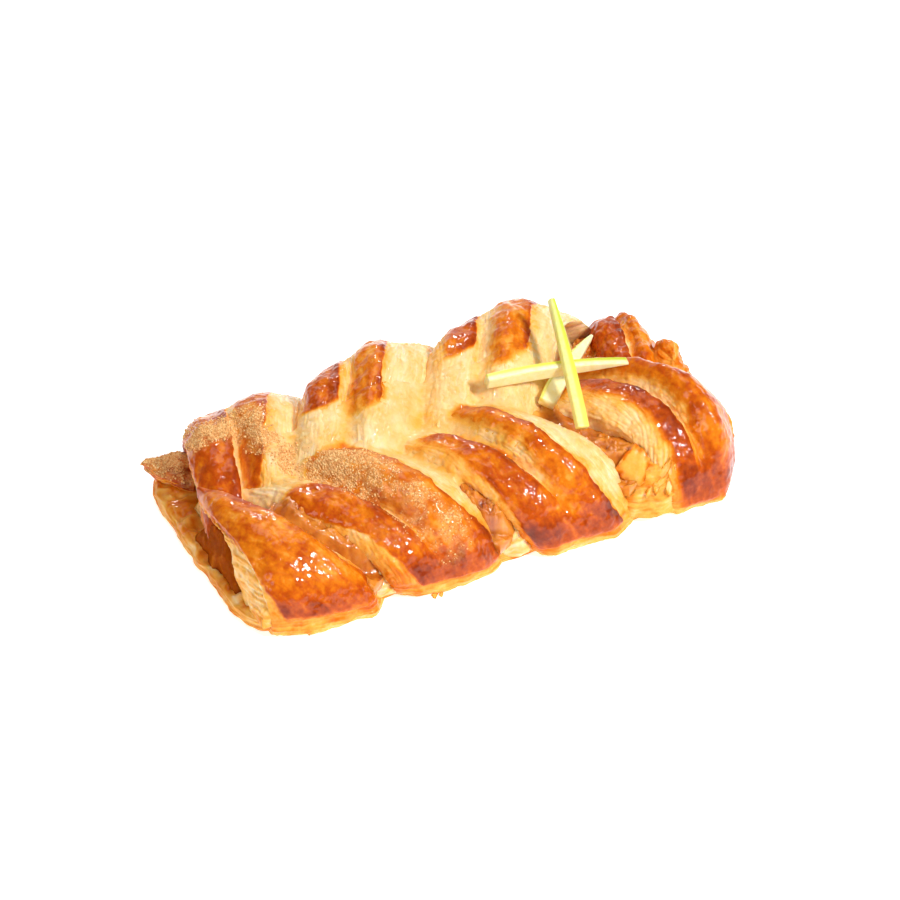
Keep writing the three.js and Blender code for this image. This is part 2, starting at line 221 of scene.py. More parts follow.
PLAIN_BAND = dict(
    reach=38.5, bow=0, near=(-0.6, -0.6), tuck=-14, dip=0.5, thick=(9.5, 9.5), round=(4.2, 4.2), fall=(7.5, 7.5),
    opens=(0.1, 0.45), widens=(0.2, 0.42), lip=(2.5, 2.5), deep=0.0, flank=0.05)
BANDS = {
    "front_1": dict(
        side=-1, reach=39.5, height=23, x=(-48, -67), half=(17, 1.5), near=(-0.2, -0.2), far=(0.55, 0.4),
        slit=0, sink=0, tuck=-5, dip=0.16, thick=(9.5, 4), round=(4.2, 2.5), fall=(7.5, 3),
        brown_near=(-0.6, -1.8), brown_far=(1.1, 0.35), soft=(0.5, 0.5), gap=(0, 0), stop=(0.97, 0.97),
        lip=(7.0, 4.5), wall=(0.14, 0.6), rough=0.14, tip=0.7, deep=-0.07),
    "back_1": dict(
        side=1, height=26.5, x=(-37, -57.5), half=(19, 11), bow=-1, far=(0.35, 0.25), slit=5, sink=3.5,
        dip=0.72, thick=(9.5, 6), fall=(4, 4), opens=(0.4, 0.6), brown_near=(-1.2, -1.2), brown_far=(0.9, -0.1),
        soft=(0.8, 1.5), gap=(-0.12, 0.04), stop=(0.98, 0.78), wall=(0.5, 0.6), rough=0.28),
    "front_2": dict(
        side=-1, height=28, x=(-14, -43), half=(16, 20), near=(-0.6, -0.8), far=(0.5, -0.1), slit=5, sink=5,
        brown_near=(-0.48, -1.5), brown_far=(0.92, 0.24), soft=(0.4, 0.7), gap=(-0.04, 0.08), stop=(0.66, 0.86),
        lip=(5.5, 3.2), wall=(0.26, 0.24), rough=0.32, flank=0.14),
    "back_2": dict(
        side=1, height=33, x=(7, -32), half=(19.5, 17), far=(0.05, 0.05), slit=4, sink=3.5, opens=(0.4, 0.6),
        brown_near=(-1.05, -0.85), brown_far=(0.3, 0.25), soft=(0.8, 1.2), gap=(-0.16, 0.08), stop=(0.66, 0.73),
        wall=(0.3, 0.2), rough=0.5),
    "front_3": dict(
        side=-1, height=29, x=(24, -6), half=(16, 19), near=(-0.6, -0.75), far=(0.35, -0.05), slit=5, sink=4,
        brown_near=(-0.93, -0.7), brown_far=(0.62, 0.1), soft=(0.5, 1.6), gap=(-0.06, 0.24), stop=(0.72, 0.8),
        lip=(3.8, 3.6), wall=(0.22, 0.14), rough=0.34, widens=(0.15, 0.5)),
    "back_3": dict(
        side=1, height=33, x=(43, 3), half=(19, 18), far=(0.25, 0.2), slit=4, sink=3, opens=(0.4, 0.6),
        brown_near=(-0.75, -0.65), brown_far=(0.62, 0.58), soft=(1.0, 1.5), gap=(-0.09, 0.2), stop=(0.62, 0.7),
        wall=(0.3, 0.2), rough=0.5),
    "front_4": dict(
        side=-1, reach=37, height=29, x=(54, 32), half=(11.5, 16), bow=7.5, near=(-0.5, -0.4), far=(0.5, 0.45),
        slit=5, sink=4, brown_near=(-0.5, -0.6), brown_far=(1.3, 1.3), soft=(1.5, 2.6), gap=(-0.1, 0.2),
        stop=(0.95, 0.95), lip=(3.5, 2.5), wall=(0.22, 0.16), rough=0.3, widens=(0.15, 0.5), deep=0.05),
    "back_4": dict(
        side=1, reach=32, height=19, x=(60, 49.5), half=(7, 8), bow=4.2, near=(-0.4, -0.5), far=(0.4, 0.4),
        slit=3, sink=0, brown_near=(-1.2, -1.2), brown_far=(1.3, 1.3), soft=(1.0, 1.0), gap=(-0.1, 0.1),
        stop=(0.95, 0.95), wall=(0.5, 0.5), rough=0.7),
}
BANDS = {name: PLAIN_BAND | band for name, band in BANDS.items()}
print(len(BANDS), "bands")


# %% The line of a crest and the top of a band
def arc_length(x, y):
    """Lengths along a line of points from its start: the running sum of the distances between neighbours."""
    return np.concatenate([[0], np.cumsum(np.hypot(np.diff(x), np.diff(y)))])


def crest(reach, height, tuck, dip):
    """The crest across the loaf as arc length, distance from the middle line and height: a quarter round fold, a
    superellipse over the shoulder, then a parabola that dips by a share of the height."""
    fold = np.linspace(-np.pi / 2, 0, 24, endpoint=False)
    turn = np.linspace(0, np.pi / 2, 200)
    share = np.linspace(0, 1, 120)[1:]
    out = np.concatenate([
        reach - FOLD_RADIUS * (1 - np.cos(fold)),
        CROWN_REACH + (reach - CROWN_REACH) * np.abs(np.cos(turn)) ** (2 / SHOULDER_POWER),
        lerp((CROWN_REACH, tuck), share),
    ])
    up = np.concatenate([
        FOLD_RADIUS * (1 + np.sin(fold)),
        FOLD_RADIUS + (height - FOLD_RADIUS) * np.sin(turn),
        height * (1 - dip * share**2),
    ])
    return arc_length(out, up), out, up


def top_depth(across, near_ridge, far_ridge, slit, sink, drop, fall):
    """Depth below the crest across a band: a round near flank, a steeper far slope, a slit that is short on its
    near side and long on its far side, and a near ridge that lies lower than the far one."""
    slit_place = lerp((near_ridge, far_ridge), SLIT_PLACE)
    near = np.maximum(0, (near_ridge - across) / (near_ridge + 1))
    far = np.maximum(0, (across - far_ridge) / (1 - far_ridge))
    spread = np.where(across < slit_place, SLIT_NEAR_SPREAD, SLIT_FAR_SPREAD)
    cut = slit * np.exp(-(np.abs((across - slit_place) / spread) ** 1.6))
    sunk = sink * (1 - smooth(across, near_ridge, far_ridge))
    return drop * near**2.2 + fall * far**1.5 + cut + sunk


lengths = [crest(b["reach"], b["height"], b["tuck"], b["dip"])[0][-1] for b in BANDS.values()]
print("longest band", round(max(lengths), 1), "mm")

# %% [markdown]
# Where is a band brown? Only where the sheet's own skin, washed with egg, lies on top. The knife laid bare pale
# layers on the far slope, in the slit and at the foot, and the tucked tip stayed pale because its neighbours
# covered it. So the skin is a mask over the two ridges, sharp and torn where the knife went and soft on the near
# flank, where the heat faded. The same mask lifts the skin a little, roughens it and later colours it.

# %% The browned skin of a band
def torn(along, seed):
    """How far a torn edge strays, in mm: long waves and short nicks along the strip."""
    return 0.7 * line_noise(along, 6.0, seed) + 0.4 * line_noise(along, 1.7, seed + 1)


def strip_mask(place, low, high, soft_low, soft_high):
    """1 between two edges across a strip and 0 outside, each edge with its own softness. All in mm."""
    return smooth(place - low, -soft_low, soft_low) * (1 - smooth(place - high, -soft_high, soft_high))


def bell(place, middle, width):
    """A bell curve, e to the power of minus the square of the distance in widths."""
    return np.exp(-(((place - middle) / width) ** 2))


def skin_of(band, along, across, half, near_ridge, far_ridge, up, seed):
    """The skin mask, the golden halo round it, how near the sharp far rim is and how far below the near edge of
    the skin a place lies, along and across a band."""
    share = along / along.max()
    place = across * half
    slit_place = lerp((near_ridge, far_ridge), SLIT_PLACE)
    nick = [torn(along, seed + 10 * k) for k in range(5)]
    low = lerp(band["brown_near"], share) * half
    high = lerp(band["brown_far"], share) * half
    soft = lerp(band["soft"], smooth(share, 0.2, 0.6))
    cut = (slit_place + band["gap"][0]) * half + 0.6 * nick[1]
    start = (slit_place + band["gap"][1] * (0.25 + 0.75 * smooth(share, *band["widens"]))) * half + nick[2]
    one = strip_mask(place, low + nick[0], cut, soft, 0.3)
    two = strip_mask(place, start, high + nick[3], 1.6, 0.3)
    whole = strip_mask(place, low + nick[0], high + nick[3], soft, 0.35)
    ends = []
    for stop, ridge in zip(band["stop"], (near_ridge, far_ridge)):
        bulge = 0.06 * (place - ridge * half) ** 2
        ends.append(smooth(stop * along.max() - along - bulge + 1.6 * nick[4], -1.0, 1.4))
    rim = bell(place, high, 1.6)
    if band["slit"]:
        joined = whole * (1 - smooth(share, 0.12, 0.34))
        skin = np.maximum(np.maximum(one * ends[0], two * ends[1]), joined)
        rim = np.maximum(bell(place, cut, 2.6) * smooth(share, 0.15, 0.4), rim)
    else:
        skin = np.maximum(whole, smooth(share, band["tip"] - 0.03, band["tip"] + 0.05))
    lip = lerp(band["lip"], (across + 1) / 2)
    skin = skin * smooth(up - lip + 0.8 * nick[1], -0.7, 0.9)
    side = smooth(place - cut, -0.5, 0.5)
    halo = strip_mask(place, low - 1.5, high + 1.5, 2.0 + soft, 2.5) * (ends[0] + (ends[1] - ends[0]) * side)
    in_slit = bell(place, (cut + start) / 2, 2.5) * smooth(share, 0.2, 0.4)
    return skin, halo * smooth(up, 0.5, 4.0) * (1 - 0.8 * in_slit), rim * skin, smooth(low - place, 0, 2.5)


# %% One band as rings
STATIONS, ACROSS = 250, 190
FAR_WALL, FLOOR, NEAR_WALL = 8, 12, 16
LOWEST = 0.05


def band_body(band, seed):
    """Plain rings of a band from foot to tip, square to its crest: the carved top, then the far wall, the underside
    and the near wall, straight between five knots. Also returns where the points lie along and across the band."""
    length, line_out, line_up = crest(band["reach"], band["height"], band["tuck"], band["dip"])
    along = np.linspace(0, 1, STATIONS)[:, None] ** 1.12 * length[-1]
    share = along / length[-1]
    out, up = np.interp(along, length, line_out), np.interp(along, length, line_up)
    lean = np.interp(along, length, np.minimum(np.gradient(line_out, length), 0))
    rise = np.interp(along, length, np.gradient(line_up, length))
    size = np.hypot(lean, rise)
    lean, rise = lean / size, rise / size
    middle = lerp(band["x"], share) + band["bow"] * np.sin(np.pi * share)
    half = lerp(band["half"], share) * np.sqrt(1 - 0.96 * smooth(share, 0.86, 1.0) ** 2)
    near_ridge = lerp(band["near"], share) + 0.5 * line_noise(along, 16.0, seed) / half
    far_ridge = lerp(band["far"], share) + 0.5 * line_noise(along, 13.0, seed + 1) / half
    top = np.linspace(-1, 1, ACROSS)[None, :]
    slit = band["slit"] * smooth(share, *band["opens"])
    sink = band["sink"] * smooth(share, *PLAIN_BAND["opens"])
    depth = top_depth(top, near_ridge, far_ridge, slit, sink, lerp(band["round"], share), lerp(band["fall"], share))
    ones = np.ones_like(share)
    thick = lerp(band["thick"], share)
    bottom = thick + sink
    knots_q = np.concatenate([ones, 1 + FAR_LEAN / half, 0 * ones, -ones, -ones], 1)
    knots_d = np.concatenate([depth[:, -1:], thick, bottom, bottom, depth[:, :1]], 1)
    ticks = np.concatenate([
        np.linspace(0, 1, FAR_WALL + 1)[1:],
        np.linspace(1, 3, FLOOR + 1)[1:],
        np.linspace(3, 4, NEAR_WALL + 1)[1:-1],
    ])
    left = np.minimum(ticks.astype(int), 3)
    under_q, under_d = [lerp((knots[:, left], knots[:, left + 1]), ticks - left) for knots in (knots_q, knots_d)]
    across = np.concatenate([np.repeat(top, STATIONS, 0), under_q], 1)
    depth = np.concatenate([depth, under_d], 1)
    rings = np.stack([middle + half * across, band["side"] * (out - rise * depth), up + lean * depth], -1)
    return rings, along, across, half, near_ridge, far_ridge


# %% [markdown]
# Then the band swells. Noise of several sizes pushes every point out or in along its normal, as blisters where the
# skin is and as thin layers where the dough lies open. The same noise tints the dough, so form and tone agree.

# %% The relief and the tones of a band
def band_rings(band, seed):
    """The plain rings moved out along their normals by lumps, blisters, layers and the lifted skin. The tone blends
    from pale to brown by the skin mask, both varied by the same noise. Returns the rings, marks and normals."""
    rings, along, across, half, near_ridge, far_ridge = band_body(band, seed)
    share = along / along.max()
    grid = np.broadcast_to(along, across.shape)
    around = across.shape[1]
    on_top = (np.arange(around) < ACROSS)[None, :]
    near_wall = np.concatenate([np.zeros(around - NEAR_WALL), np.linspace(0.3, 1, NEAR_WALL)])[None, :]
    far_wall = np.zeros((1, around))
    far_wall[0, ACROSS : ACROSS + FAR_WALL] = np.linspace(1, 0, FAR_WALL)
    masks = skin_of(band, grid, across, half, near_ridge, far_ridge, rings[..., 2], seed)
    skin, halo, rim, below = [mask * on_top for mask in masks]
    girth = np.cumsum(np.linalg.norm(np.diff(rings, axis=1, prepend=rings[:, :1]), axis=-1), 1)
    girth = girth - girth[:, ACROSS - 1 : ACROSS]
    lump = mottle(rings, 12.0, seed + 4, 2)
    sway = girth + 0.9 * crumple(rings / 7.0, seed + 13) + 0.35 * crumple(rings / 2.5, seed + 14)
    leaf = 1 - 2.2 * np.abs(grain(grid, sway, (10.0, 1.3), seed + 2)) + 0.5 * grain(grid, sway, (4.0, 0.5), seed + 3)
    leaf *= 0.55 + 0.45 * smooth(crumple(rings / 9.0, seed + 15), -0.3, 0.5)
    level = rings[..., 2] + 0.5 * crumple(rings / [6.0, 6.0, 3.0], seed + 18)
    layer = grain(rings[..., 0], level, (9.0, 0.8), seed + 19)
    layer += 0.5 * grain(rings[..., 0], level, (3.0, 0.5), seed + 20)
    streak = grain(grid, sway, (7.0, 2.2), seed + 16) + 0.6 * grain(grid, sway, (3.0, 0.9), seed + 17)
    blister = mottle(rings, 4.2, seed + 6, 3)
    fine = mottle(rings, 1.4, seed + 9, 2)
    at_foot = 1 - smooth(rings[..., 2], 4.0, 7.5)
    open_leaf = leaf + (1.3 * layer - leaf) * at_foot
    puffed = 0.45 + band["rough"] * blister + 0.05 * fine + 0.1 * mottle(rings, 2.2, seed + 23, 2)
    ragged = at_foot * (0.7 * crumple(rings / [5.0, 5.0, 20.0], seed + 21) - 0.3)
    push = 0.5 * lump + skin * puffed + (1 - skin) * (0.26 * open_leaf + 0.2 * fine + 0.25 * blister + ragged)
    normal = outward(rings, band["side"] > 0)
    rings = rings + normal * (push * smooth(rings[..., 2], -0.4, 0.9))[..., None]
    rings[..., 2] = np.maximum(rings[..., 2], LOWEST)
    foot = bell(grid, 10.0, 5.0)
    ridge = smooth(across, near_ridge - 0.5, far_ridge + 0.3)
    brown = 0.62 - 0.12 * ridge + 0.08 * mottle(rings, 8.0, seed + 12, 2) + 0.09 * streak
    brown = brown + 0.04 * blister + 0.04 * fine + 0.2 * foot + 0.2 * rim + band["deep"]
    spots = smooth(mottle(rings, 2.4, seed + 22, 3), 0.25, 0.7)
    pale = 0.15 + 0.08 * open_leaf + 0.06 * lump + 0.06 * blister + 0.16 * halo * (0.8 + 0.5 * lump) + 0.14 * foot
    pale = pale + 0.14 * at_foot + 0.05 * spots + band["flank"] * below
    pale = pale + (lerp(band["wall"], smooth(share, 0.4, 0.62)) - 0.15) * near_wall * (0.9 + 0.4 * leaf)
    pale = pale + 0.45 * far_wall * (band["brown_far"][1] > 1)
    bake = np.clip(pale + (brown - pale) * skin, 0, 1)
    glazed = np.maximum(skin, near_wall * (share > 0.5) * (band["wall"][1] > 0.3))
    return rings, {"bake": bake, "skin": glazed * (0.3 + 0.7 * smooth(rings[..., 2], 2, 11))}, normal


# %% Building the plait
plait = {}
for number, (name, band) in enumerate(BANDS.items()):
    rings, marks, normal = band_rings(band, 100 * (number + 1))
    plait[name] = dict(rings=rings, marks=marks, normal=normal, flip=band["side"] > 0)
print("plait rings", {n: p["rings"].shape[:2] for n, p in plait.items()})

# %% [markdown]
# Cinnamon fell from a shaker over the near end, in a swath across the turned-up corner, the first back band and the
# second front one. It lies in soft drifts, so its strength is a sum of soft round spots, broken up by noise. The
# same strength tints the crust under it and says where the loose grains go.

# %% Where the cinnamon fell
DRIFTS = np.array([
    # middle x and y, half-lengths along them, and weight
    (-64, 31, 5.5, 4.5, 2.0), (-58, 20, 6, 4, 1.3), (-48, 18, 5, 5, 1.1), (-46, 10, 4, 4, 1.0),
    (-43, 3, 3.5, 3.5, 0.9), (-38.5, -3, 4, 3, 0.9), (-37.4, -7.5, 4, 3, 0.9), (-33, -5, 4, 3, 0.8),
    (-31.5, -10, 4, 4.5, 0.9), (-28.5, -17, 5, 7, 0.75), (-35, -14, 2.5, 5, 0.6), (-22, -28, 5, 6, 0.7),
    (-15, -34.5, 5, 4, 0.6),
])


def cinnamon_on(points):
    """Strength of the cinnamon at points in mm: the sum of the drifts' bell curves, times noise."""
    strength = np.zeros(points.shape[:-1])
    for x, y, long_x, long_y, weight in DRIFTS:
        far = ((points[..., 0] - x) / long_x) ** 2 + ((points[..., 1] - y) / long_y) ** 2
        strength += weight * np.exp(-far)
    return np.clip(1.5 * strength * (0.7 + 0.7 * mottle(points, 3.0, 77, 3)) - 0.15, 0, 1)


for name, part in plait.items():
    part["marks"]["dust"] = cinnamon_on(part["rings"]) * smooth(part["normal"][..., 2], 0.05, 0.5)
    ring_piece("band_" + name, part["rings"], part["marks"], "dough", ["pastry"], part["flip"])

# %% [markdown]
# The sheet under the plait shows at the near end, where its edge sticks out as a rough browned lip, and between the
# feet. It is a slab: rings of one rounded outline, set in or out and raised step by step, with thin layers
# standing out along the edge.

# %% The bottom sheet
SHEET_NEAR_X, SHEET_FAR_X, SHEET_HALF_WIDTH, SHEET_THICKNESS, SHEET_END_BULGE = -69.0, 63.0, 34.0, 4.0, 3.0
SHEET_POWER, LIP_BULGE = 14, 2.0
OUTLINE_POINTS, EDGE_RINGS = 900, 22
UNDER_INSET, TOP_INSET = [14, 5, 1.2], [1.2, 2, 3, 4.2, 5.5, 7, 9, 12]
TOP_HEIGHT = [4.0, 4.1, 4.2, 4.2, 4.2, 4.1, 4.0, 4.0]


def signed_power(value, power):
    """A power of a value's size, with the value's sign."""
    return np.sign(value) * np.abs(value) ** power


def sheet_outline():
    """A superellipse, evenly spaced along its length, whose two ends bulge by a parabola."""
    turn = np.linspace(0, 2 * np.pi, 6000)
    x = signed_power(np.cos(turn), 2 / SHEET_POWER) * (SHEET_FAR_X - SHEET_NEAR_X) / 2
    y = signed_power(np.sin(turn), 2 / SHEET_POWER) * SHEET_HALF_WIDTH
    round_end = 1 - (y / SHEET_HALF_WIDTH) ** 2
    x = x + (SHEET_END_BULGE * smooth(x, 40, 66) - LIP_BULGE * smooth(-x, 50, 66)) * round_end
    length = arc_length(x, y)
    even = np.linspace(0, length[-1], OUTLINE_POINTS, endpoint=False)
    middle = (SHEET_FAR_X + SHEET_NEAR_X) / 2
    return np.interp(even, length, x) + middle, np.interp(even, length, y), even


def sheet_rings():
    """Rings from the underside's middle out to the edge, up the layered edge and in over the top."""
    x, y, even = sheet_outline()
    inset = np.concatenate([UNDER_INSET, 0.5 * np.abs(np.linspace(-1, 1, EDGE_RINGS)) ** 3, TOP_INSET])[:, None]
    height = np.concatenate([[0, 0, 0], np.linspace(0.3, 3.9, EDGE_RINGS), TOP_HEIGHT])[:, None]
    out_x, out_y = np.gradient(y), -np.gradient(x)
    size = np.hypot(out_x, out_y)
    out_x, out_y = out_x / size, out_y / size
    edge = (inset < 1) * 1.0
    top = (np.arange(len(inset)) >= len(UNDER_INSET) + EDGE_RINGS)[:, None] * 1.0
    lip = smooth(-x, 50, 62)[None, :]
    wave = (0.9 * line_noise(even, 13.0, 5) + 0.5 * line_noise(even, 4.0, 6))[None, :]
    leaf = grain(even, height, (7.0, 0.55), 8) + 0.5 * grain(even, height, (2.5, 0.4), 9)
    push = -inset + (0.4 + 0.6 * lip) * wave * smooth(inset, 9, 2) + edge * (0.45 * leaf)
    rings = np.stack([x + out_x * push, y + out_y * push, height + 0 * push], -1)
    rings[..., 2] += top * lip * (1.3 * mottle(rings, 4.0, 11, 3) + 0.4) * smooth(inset, 12, 5)
    rings[..., 2] = np.maximum(rings[..., 2], 0.0)
    blotch = mottle(rings, 5.0, 14, 3)
    paler = 0.16 * smooth(-rings[..., 1], -4, 14)
    bake = edge * (0.36 + 0.14 * leaf + 0.1 * blotch) + top * (0.47 - paler + 0.28 * blotch) + (1 - edge - top) * 0.5
    return rings, {"bake": np.clip(bake, 0, 1), "skin": top * 0.2 + 0 * bake, "dust": 0 * bake}


ring_piece("bottom_sheet", *sheet_rings(), "dough", ["pastry"])

# %% [markdown]
# Small shapes belong to the dough as well: the ear at the near back corner, a flat oval drawn out to a tip, the
# torn webs that stand between the front feet, and a crag that is left standing at the far end. All are rings that
# shrink along a line.

# %% The ear and the webs
EAR_ROOT, EAR_TIP = np.array([-58.0, 27.0, 5.0]), np.array([-70.0, 33.5, 7.5])
EAR_HALF_WIDTH, EAR_HALF_THICKNESS = 7.0, 3.0
WEBS = [
    # middle, half-length and half-width, height, bake and how craggy
    ((-34.0, -29.5), (7.0, 5.5), 8.0, 0.2, 1.0), ((3.5, -30.0), (7.0, 5.5), 8.0, 0.2, 1.0),
    ((43.0, -29.5), (11.0, 7.0), 13.0, 0.36, 1.0), ((66.0, 6.0), (5.0, 8.5), 17.5, 0.46, 1.5),
]


def ear_rings(stations=90, around=120):
    """Flat ovals along a straight line, narrowing to the tip."""
    share = np.linspace(0, 1, stations)[:, None]
    angle = np.linspace(0, 2 * np.pi, around, endpoint=False)[None, :]
    along = unit(EAR_TIP - EAR_ROOT)
    aside = unit(np.array([-along[1], along[0], 0.0]))
    above = np.cross(along, aside)
    width = EAR_HALF_WIDTH * np.maximum(0.06, (1 - share**1.5) ** 0.8) * np.cos(angle)
    thick = EAR_HALF_THICKNESS * np.maximum(0.12, (1 - share**3) ** 0.5) * np.sin(angle)
    return lerp((EAR_ROOT, EAR_TIP), share[..., None]) + width[..., None] * aside + thick[..., None] * above


def web_rings(at, half, height, stations=60, around=160):
    """Ovals that shrink towards a rounded top: cosine of the climb for the size, sine for the height."""
    climb = np.linspace(0, 0.95 * np.pi / 2, stations)[:, None]
    angle = np.linspace(0, 2 * np.pi, around, endpoint=False)[None, :]
    x = at[0] + half[0] * np.cos(climb) * np.cos(angle)
    y = at[1] + half[1] * np.cos(climb) * np.sin(angle)
    return np.stack([x, y, SHEET_THICKNESS / 2 + height * np.sin(climb) + 0 * angle], -1)


def pushed(rings, push):
    """Rings moved out along their normals by a length in mm for each point."""
    return rings + outward(rings) * push[..., None]


def rough_dough(rings, seed, bake, spread, craggy=0.8):
    """Lumps and thin level layers on rings of dough, and their tone."""
    sway = rings + 0.8 * crumple(rings / 5.0, seed + 9)[..., None] * [0, 0, 1]
    layer = crumple(sway / [5.0, 5.0, 0.8], seed) + 0.5 * crumple(sway / [2.0, 2.0, 0.5], seed + 2)
    rings = pushed(rings, craggy * (0.8 * mottle(rings, 5.0, seed + 1, 3) + 0.35 * layer))
    rings[..., 2] = np.maximum(rings[..., 2], 0.1)
    tone = np.clip(bake + spread * mottle(rings, 5.0, seed + 5, 3) + 0.12 * layer, 0, 1)
    return rings, tone


ear, tone = rough_dough(ear_rings(), 31, 0.62, 0.2)
up = outward(ear)[..., 2]
# Painted shade: the ear is made browner and darker on its side that faces down.
tone = tone - 0.35 * smooth(-up, -0.3, 0.5)
ear_marks = {"bake": tone, "skin": 0.5 + 0 * tone, "dust": cinnamon_on(ear) * smooth(up, 0.1, 0.5)}
ring_piece("ear", ear, ear_marks, "dough", ["pastry"])
for number, (at, half, height, bake, craggy) in enumerate(WEBS):
    web, tone = rough_dough(web_rings(at, half, height), 41 + number, bake, 0.12, craggy)
    web_marks = {"bake": tone, "skin": 0.6 * (tone > 0.4), "dust": 0 * tone}
    ring_piece(f"web_{number + 1}", web, web_marks, "dough", ["pastry"])

# %% [markdown]
# Under the near rim of the first front band the dough hangs down to the sheet like a curtain, in rough layers. It is
# a profile that leans out and bulges as it falls, carried along the rim of that band. Its lower edge climbs back
# to the rim towards the tip, where the jelly shows.

# %% The curtain under the first front band
CURTAIN_FOOT_X, CURTAIN_BULGE, CURTAIN_THICKNESS = -67.8, 0.8, 2.5
CURTAIN_FULL_Y, CURTAIN_END_Y, CURTAIN_LOWEST_RIM = -26.0, -9.0, 5.0


def curtain_rings(rim, around=60):
    """Front from the lower edge up to the rim: a straight line that leans out, plus half a sine. The back is the
    front set inwards. The share of the full drop fades along the rim."""
    fall = np.linspace(1, 0, around)[None, :]
    hang = 1 - smooth(rim[:, 1:2], CURTAIN_FULL_Y, CURTAIN_END_Y)
    top = rim + [0.6, 0, -1.0]
    x = top[:, :1] + (CURTAIN_FOOT_X - top[:, :1]) * hang * fall - CURTAIN_BULGE * np.sin(np.pi * fall)
    z = top[:, 2:] - (top[:, 2:] - SHEET_THICKNESS) * hang * fall
    front = np.stack([x, top[:, 1:2] + 0 * x, z], -1)
    return folded(front, front + [CURTAIN_THICKNESS, 0, 0])


rim = plait["front_1"]["rings"][:, 0]
rim = rim[(rim[:, 2] > CURTAIN_LOWEST_RIM) & (rim[:, 1] < CURTAIN_END_Y)]
curtain, tone = rough_dough(curtain_rings(rim), 51, 0.3, 0.14, 0.7)
ring_piece("curtain", curtain, {"bake": tone, "skin": 0 * tone, "dust": 0 * tone}, "dough", ["pastry"])

# %% [markdown]
# The filling is stewed apple in its own jelly: soft chunks under a wet skin. The mound keeps the solid's form, and
# each chunk is a round bump about a seed point, the nearest seed winning.

# %% The filling
FILLING_MIDDLE_X, FILLING_HALF_LENGTH, FILLING_HALF_WIDTH, FILLING_HEIGHT = -3.0, 61.0, 27.5, 15.0
FILLING_FLOOR, CHUNK_COUNT, CHUNK_EDGE = SHEET_THICKNESS + 0.3, 150, (1.0, 5.0)


def filling_rings(stations=300, around=150):
    """Superellipse arches over a flat floor, lower and narrower towards both ends."""
    share = -np.cos(np.linspace(0, np.pi, stations))[:, None]
    angle = np.linspace(0, np.pi, around)[None, :]
    full = np.maximum(0.12, (1 - np.abs(share) ** 4) ** 0.5)
    half = FILLING_HALF_WIDTH * np.maximum(0.55, full)
    y = half * signed_power(np.cos(angle), 0.8)
    z = FILLING_FLOOR + FILLING_HEIGHT * full * np.abs(np.sin(angle)) ** 0.8
    x = FILLING_MIDDLE_X + share * FILLING_HALF_LENGTH + 0 * angle
    return np.stack([x, y + 0 * x, z + 0 * x], -1)


def nearest_seed(points, seeds):
    """Distance in mm from each point to its nearest seed."""
    best = np.full(points.shape[:-1], np.inf)
    for seed in seeds:
        best = np.minimum(best, np.linalg.norm(points - seed, axis=-1))
    return best


filling = filling_rings()
draw = np.random.default_rng(7)
seeds = filling[draw.integers(0, filling.shape[0], CHUNK_COUNT), draw.integers(0, filling.shape[1], CHUNK_COUNT)]
chunk = 1 - smooth(nearest_seed(filling, seeds), *CHUNK_EDGE)
push = 1.1 * chunk - 0.7 + 0.35 * mottle(filling, 4.0, 61, 3)
filling = pushed(filling, push * smooth(filling[..., 2], FILLING_FLOOR, FILLING_FLOOR + 2))
filling[..., 2] = np.maximum(filling[..., 2], FILLING_FLOOR)
filling_piece = ring_piece("filling", filling, {"chunk": chunk}, "filling", ["apple_filling"])

# %% [markdown]
# Dough is soft when it is plaited, and where bands press together it stretches into webs that fill the creases. A
# map of the highest dough over a grid of small cells, smoothed a few times, gives a blanket that lies above every
# crease and below every ridge. So only the filled creases of the blanket show, a little lower at the front and
# deeper round the pit where the matchsticks lie.

# %% Blankets over the dough
MAP_STEP, MAP_LOW, MAP_CELLS = 0.5, np.array([-80.0, -50.0]), (320, 200)


def cell_of(points):
    """The numbers of the map cells that points lie in."""
    cell = np.floor((points[:, :2] - MAP_LOW) / MAP_STEP).astype(int)
    return cell[:, 0], cell[:, 1]


def highest(points, values):
    """Maps of the greatest height in each cell and of the value that belongs to it: points are laid down from the
    lowest to the highest, so the highest one stays."""
    order = np.argsort(points[:, 2])
    cell = cell_of(points[order])
    height, kept = np.zeros(MAP_CELLS), np.zeros(MAP_CELLS)
    height[cell] = points[order, 2]
    kept[cell] = values[order]
    return height, kept


def settle(grid, times):
    """Every cell becomes half itself and a quarter of each neighbour, along both axes, a number of times."""
    for _ in range(times):
        for axis in (0, 1):
            grid = 0.5 * grid + 0.25 * (np.roll(grid, 1, axis) + np.roll(grid, -1, axis))
    return grid


def blanket(top, thickness):
    """Closed rings from a grid of top points: each row over the top and back again below it."""
    return folded(top, top - [0, 0, thickness])


def all_bands(mark):
    """One mark of every point of the plait, band after band."""
    return np.concatenate([part["marks"][mark].ravel() for part in plait.values()])


dough_points = np.concatenate([part["rings"].reshape(-1, 3) for part in plait.values()])
height_map, bake_map = highest(dough_points, all_bands("bake"))
skin_map = highest(dough_points, all_bands("skin"))[1]
print("map cells with dough", int((height_map > 0).sum()))

# %% The webs in the creases
WEB_THICKNESS, WEB_LOWEST, WEB_LOWERED = 1.2, 8.0, 9
WEB_MIDDLE, WEB_HALF = (-3.0, -2.5), (54, 28)
CREASE_PASSES, PIT_PASSES = 16, 150
PIT_SPOTS, PIT_EDGE, PIT_DEPTH, NO_PIT = ((37, 0), (46, 16)), (9, 14), 3.0, 20


